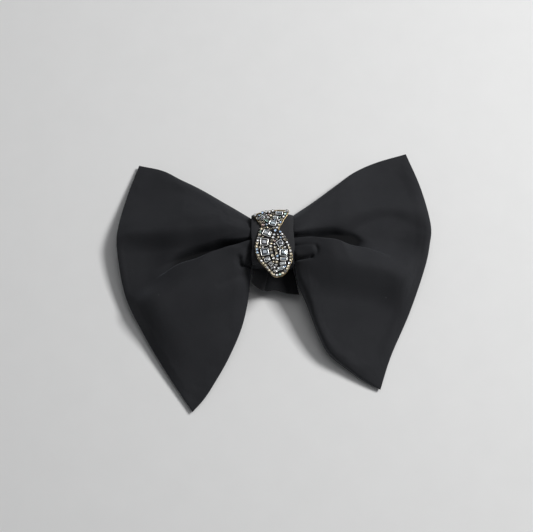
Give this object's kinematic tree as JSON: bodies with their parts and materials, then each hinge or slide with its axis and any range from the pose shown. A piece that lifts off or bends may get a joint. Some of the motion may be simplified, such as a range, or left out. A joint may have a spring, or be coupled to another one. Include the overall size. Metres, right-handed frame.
{
  "type": "bow tie",
  "caption": "Large drooping pre-tied bow tie with padded fabric wings, a wrapped knot with a stone-set brooch, and a folding neck strap with slider, hook and eye.",
  "frame": {"origin": "middle of the bow's outline, on the surface it lies on", "axes": "+X across the bow, towards the wearer's left wing; +Y towards the top of the bow; +Z out of the front of the bow"},
  "size_m": [0.1632, 0.137, 0.0288],
  "materials": {
    "bow_fabric": "matte black fine-woven wool suiting with a soft nap",
    "lining": "stiff woven interlining, natural colour",
    "strap_webbing": "black ribbed ribbon, slight sheen",
    "thread": "black sewing thread",
    "brooch_plate": "pale antique gold plate, softly worn",
    "brooch_setting": "silver to gunmetal plated cups and claws",
    "round_stones": "foil-backed clear faceted glass, bright glints",
    "cut_stones": "foil-backed smoky blue-grey faceted glass",
    "strap_metal": "polished nickel-plated steel"
  },
  "bodies": {
    "bow": {"wing_left_front": "bow_fabric", "wing_left_back": "bow_fabric", "wing_left_interlining": "lining", "wing_right_front": "bow_fabric", "wing_right_back": "bow_fabric", "wing_right_interlining": "lining", "centre_stay": "bow_fabric", "waist_binding": "thread", "centre_drape": "bow_fabric", "knot_band": "bow_fabric", "knot_interlining": "lining", "knot_stitches": "thread", "brooch_base": "brooch_plate", "brooch_cups": "brooch_setting", "brooch_round_stones": "round_stones", "brooch_baguettes": "cut_stones", "brooch_claws": "brooch_setting", "brooch_stitches": "thread", "strap_centre": "strap_webbing", "strap_right_fold_outer": "strap_webbing", "strap_left_fold_outer": "strap_webbing"},
    "strap_right_run": {"strap_right_mid": "strap_webbing", "strap_right_fold_inner": "strap_webbing"},
    "strap_right_tip": {"strap_right_end": "strap_webbing", "strap_right_tail": "strap_webbing"},
    "slider": {"slider": "strap_metal", "slider_loop": "strap_webbing"},
    "hook": {"hook": "strap_metal"},
    "strap_left_run": {"strap_left_mid": "strap_webbing", "strap_left_fold_inner": "strap_webbing"},
    "strap_left_tip": {"strap_left_end": "strap_webbing", "strap_left_return": "strap_webbing", "strap_left_tack": "thread"},
    "eye": {"eye": "strap_metal"}
  },
  "joints": [
    {"name": "strap_right_open", "type": "hinge", "parent": "bow", "child": "strap_right_run", "pos_m": [0.0673, 0.0165, 0.0059], "axis": [0, -1, 0], "range_deg": [0, 90], "deforming": ["strap_right_fold_outer"]},
    {"name": "strap_right_unfold", "type": "hinge", "parent": "strap_right_run", "child": "strap_right_tip", "pos_m": [0.0128, 0.0165, 0.0039], "axis": [0, 1, 0], "range_deg": [0, 180], "deforming": ["strap_right_fold_inner"]},
    {"name": "slider_slide", "type": "slide", "parent": "strap_right_tip", "child": "slider", "axis": [1, 0, 0], "range_m": [0, 0.02], "deforming": ["strap_right_tail"]},
    {"name": "hook_swing", "type": "hinge", "parent": "strap_right_tip", "child": "hook", "pos_m": [0.0579, 0.0165, 0.0019], "axis": [0, 1, 0], "range_deg": [0, 75]},
    {"name": "strap_left_open", "type": "hinge", "parent": "bow", "child": "strap_left_run", "pos_m": [-0.0687, 0.0165, 0.0059], "axis": [0, 1, 0], "range_deg": [0, 90], "deforming": ["strap_left_fold_outer"]},
    {"name": "strap_left_unfold", "type": "hinge", "parent": "strap_left_run", "child": "strap_left_tip", "pos_m": [-0.0142, 0.0165, 0.0039], "axis": [0, -1, 0], "range_deg": [0, 180], "deforming": ["strap_left_fold_inner"]},
    {"name": "eye_swing", "type": "hinge", "parent": "strap_left_tip", "child": "eye", "pos_m": [-0.0593, 0.0165, 0.0019], "axis": [0, -1, 0], "range_deg": [0, 75]}
  ],
  "couplings": [
    {"joint": "strap_right_unfold", "follows": "strap_right_open", "ratio": 2},
    {"joint": "strap_left_unfold", "follows": "strap_left_open", "ratio": 2}
  ]
}
